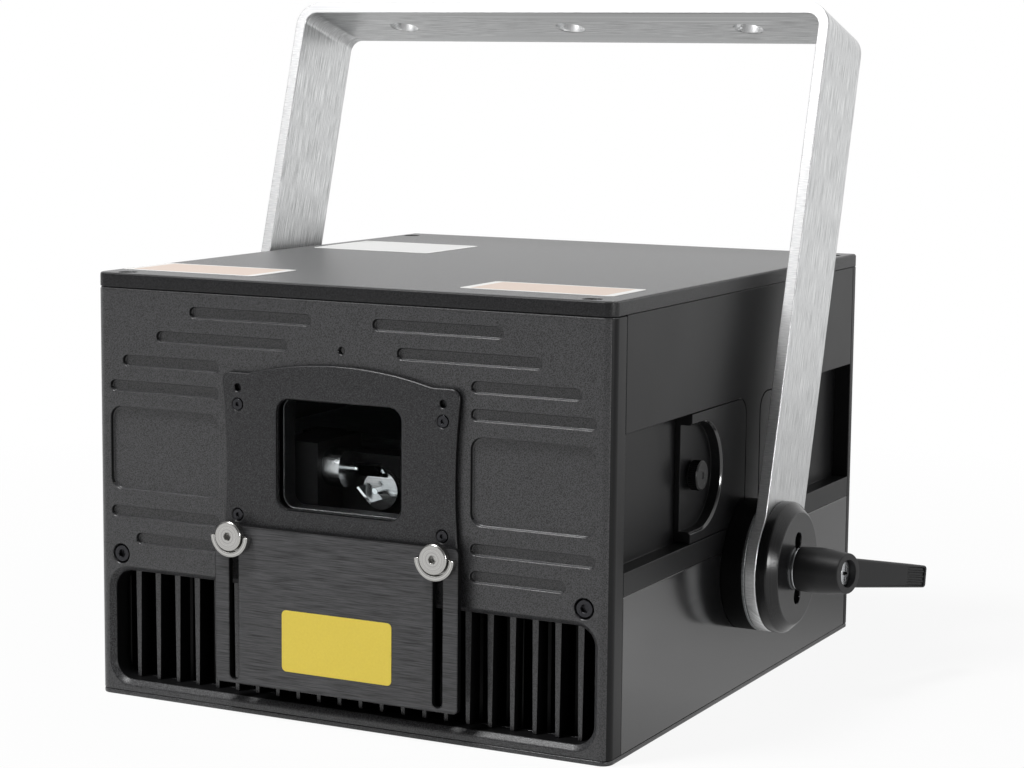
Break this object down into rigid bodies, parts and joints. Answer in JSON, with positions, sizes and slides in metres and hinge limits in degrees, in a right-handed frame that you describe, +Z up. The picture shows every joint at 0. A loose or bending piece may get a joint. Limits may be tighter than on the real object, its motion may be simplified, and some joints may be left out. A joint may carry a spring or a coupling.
{
  "type": "laser show projector",
  "caption": "Compact laser show projector: black metal case with a scan window, sliding shutter, air grille and side recesses, on a tilting flat-bar yoke with clamp levers.",
  "frame": {"origin": "middle of the base plate's underside", "axes": "+X to the right of someone who faces the front panel, -Y the way the beam leaves, +Z up"},
  "size_m": [0.3616, 0.2877, 0.2921],
  "materials": {
    "black_anodised_panel": "bead blasted and black anodised",
    "satin_black_side": "fine satin black anodised",
    "brushed_black_shutter": "brushed along its width and black anodised",
    "brushed_aluminium": "brushed along the bar",
    "black_hub": "turned and black anodised",
    "steel_screws": "zinc plated",
    "bright_steel": "turned bright",
    "black_plastic": "moulded, fine grain",
    "status_light": "dark lens",
    "clear_window": "coated flat glass",
    "inner_aluminium": "milled",
    "black_optics": "matt black",
    "galvo_steel": "ground",
    "scan_mirror": "front surface mirror",
    "circuit_board": "solder mask",
    "brass_standoffs": "turned",
    "plated_connector": "nickel plated"
  },
  "bodies": {
    "case": {"base_plate": "black_anodised_panel", "lid": "black_anodised_panel", "front_panel": "black_anodised_panel", "window_plate": "black_anodised_panel", "intake_grille": "black_anodised_panel", "rear_panel": "black_anodised_panel", "right_side_panel": "satin_black_side", "left_side_panel": "satin_black_side", "right_lower_panel": "satin_black_side", "left_lower_panel": "satin_black_side", "right_front_block": "satin_black_side", "right_rear_block": "satin_black_side", "left_front_block": "satin_black_side", "left_rear_block": "satin_black_side", "hub_spacers": "black_hub", "window_screws": "steel_screws", "front_panel_screws": "steel_screws", "lid_screws": "steel_screws", "pivot_studs": "steel_screws", "friction_washers": "steel_screws", "shutter_saddles": "bright_steel", "fan_frames": "black_plastic", "power_inlet": "black_plastic", "emission_light": "status_light", "window_glass": "clear_window", "power_supply": "inner_aluminium", "scanner_block": "black_optics", "optical_deck": "black_optics", "heatsink": "black_optics", "beam_mirror_mount": "black_optics", "laser_module": "black_optics", "horizontal_galvo": "galvo_steel", "vertical_galvo": "galvo_steel", "beam_mirror": "scan_mirror", "control_board": "circuit_board", "board_standoffs": "brass_standoffs", "show_connector": "plated_connector", "key_switch": "plated_connector"},
    "yoke": {"yoke": "brushed_aluminium", "right_hub_disc": "black_hub", "left_hub_disc": "black_hub"},
    "right_lever": {"right_lever_insert": "steel_screws", "right_lever_screw": "steel_screws"},
    "right_handle": {"right_lever_handle": "black_plastic"},
    "left_lever": {"left_lever_insert": "steel_screws", "left_lever_screw": "steel_screws"},
    "left_handle": {"left_lever_handle": "black_plastic"},
    "shutter": {"shutter_plate": "brushed_black_shutter"},
    "right_clamp": {"right_shutter_screw": "bright_steel"},
    "left_clamp": {"left_shutter_screw": "bright_steel"},
    "right_front_knob": {"right_front_knob": "satin_black_side"},
    "right_rear_knob": {"right_rear_knob": "satin_black_side"},
    "left_front_knob": {"left_front_knob": "satin_black_side"},
    "left_rear_knob": {"left_rear_knob": "satin_black_side"},
    "horizontal_scan": {"horizontal_mirror": "scan_mirror"},
    "vertical_scan": {"vertical_mirror": "scan_mirror"},
    "right_fan": {"right_fan_rotor": "black_plastic"},
    "left_fan": {"left_fan_rotor": "black_plastic"},
    "key": {"key_barrel": "plated_connector"}
  },
  "joints": [
    {"name": "yoke_tilt", "type": "hinge", "parent": "case", "child": "yoke", "pos_m": [0, 0.002, 0.055], "axis": [1, 0, 0], "range_deg": [-73, 106]},
    {"name": "right_lever_turn", "type": "hinge", "parent": "case", "child": "right_lever", "pos_m": [0.15, 0.002, 0.055], "axis": [1, 0, 0], "continuous": true},
    {"name": "right_lever_lift", "type": "slide", "parent": "right_lever", "child": "right_handle", "axis": [1, 0, 0], "range_m": [0, 0.003], "stiffness_N_per_m": 2000, "springref_m": -0.002},
    {"name": "left_lever_turn", "type": "hinge", "parent": "case", "child": "left_lever", "pos_m": [-0.15, 0.002, 0.055], "axis": [-1, 0, 0], "continuous": true},
    {"name": "left_lever_lift", "type": "slide", "parent": "left_lever", "child": "left_handle", "axis": [-1, 0, 0], "range_m": [0, 0.003], "stiffness_N_per_m": 2000, "springref_m": -0.002},
    {"name": "shutter_slide", "type": "slide", "parent": "case", "child": "shutter", "axis": [0, 0, 1], "range_m": [0, 0.0573]},
    {"name": "right_clamp_turn", "type": "hinge", "parent": "case", "child": "right_clamp", "pos_m": [0.047, -0.14, 0.0753], "axis": [0, -1, 0], "continuous": true},
    {"name": "left_clamp_turn", "type": "hinge", "parent": "case", "child": "left_clamp", "pos_m": [-0.047, -0.14, 0.0753], "axis": [0, -1, 0], "continuous": true},
    {"name": "right_front_knob_turn", "type": "hinge", "parent": "case", "child": "right_front_knob", "pos_m": [0.1165, -0.048, 0.0999], "axis": [1, 0, 0], "continuous": true},
    {"name": "right_rear_knob_turn", "type": "hinge", "parent": "case", "child": "right_rear_knob", "pos_m": [0.1165, 0.0636, 0.0999], "axis": [1, 0, 0], "continuous": true},
    {"name": "left_front_knob_turn", "type": "hinge", "parent": "case", "child": "left_front_knob", "pos_m": [-0.1165, -0.048, 0.0999], "axis": [-1, 0, 0], "continuous": true},
    {"name": "left_rear_knob_turn", "type": "hinge", "parent": "case", "child": "left_rear_knob", "pos_m": [-0.1165, 0.0636, 0.0999], "axis": [-1, 0, 0], "continuous": true},
    {"name": "horizontal_scan_turn", "type": "hinge", "parent": "case", "child": "horizontal_scan", "pos_m": [-0.012, -0.109, 0.101], "axis": [1, 0, 0], "range_deg": [-20, 20]},
    {"name": "vertical_scan_turn", "type": "hinge", "parent": "case", "child": "vertical_scan", "pos_m": [0, -0.104, 0.092], "axis": [0, 1, 0], "range_deg": [-20, 20]},
    {"name": "right_fan_spin", "type": "hinge", "parent": "case", "child": "right_fan", "pos_m": [0.055, 0.125, 0.032], "axis": [0, 1, 0], "continuous": true},
    {"name": "left_fan_spin", "type": "hinge", "parent": "case", "child": "left_fan", "pos_m": [-0.055, 0.125, 0.032], "axis": [0, 1, 0], "continuous": true},
    {"name": "key_turn", "type": "hinge", "parent": "case", "child": "key", "pos_m": [0.08, 0.135, 0.14], "axis": [0, 1, 0], "range_deg": [0, 90]}
  ]
}
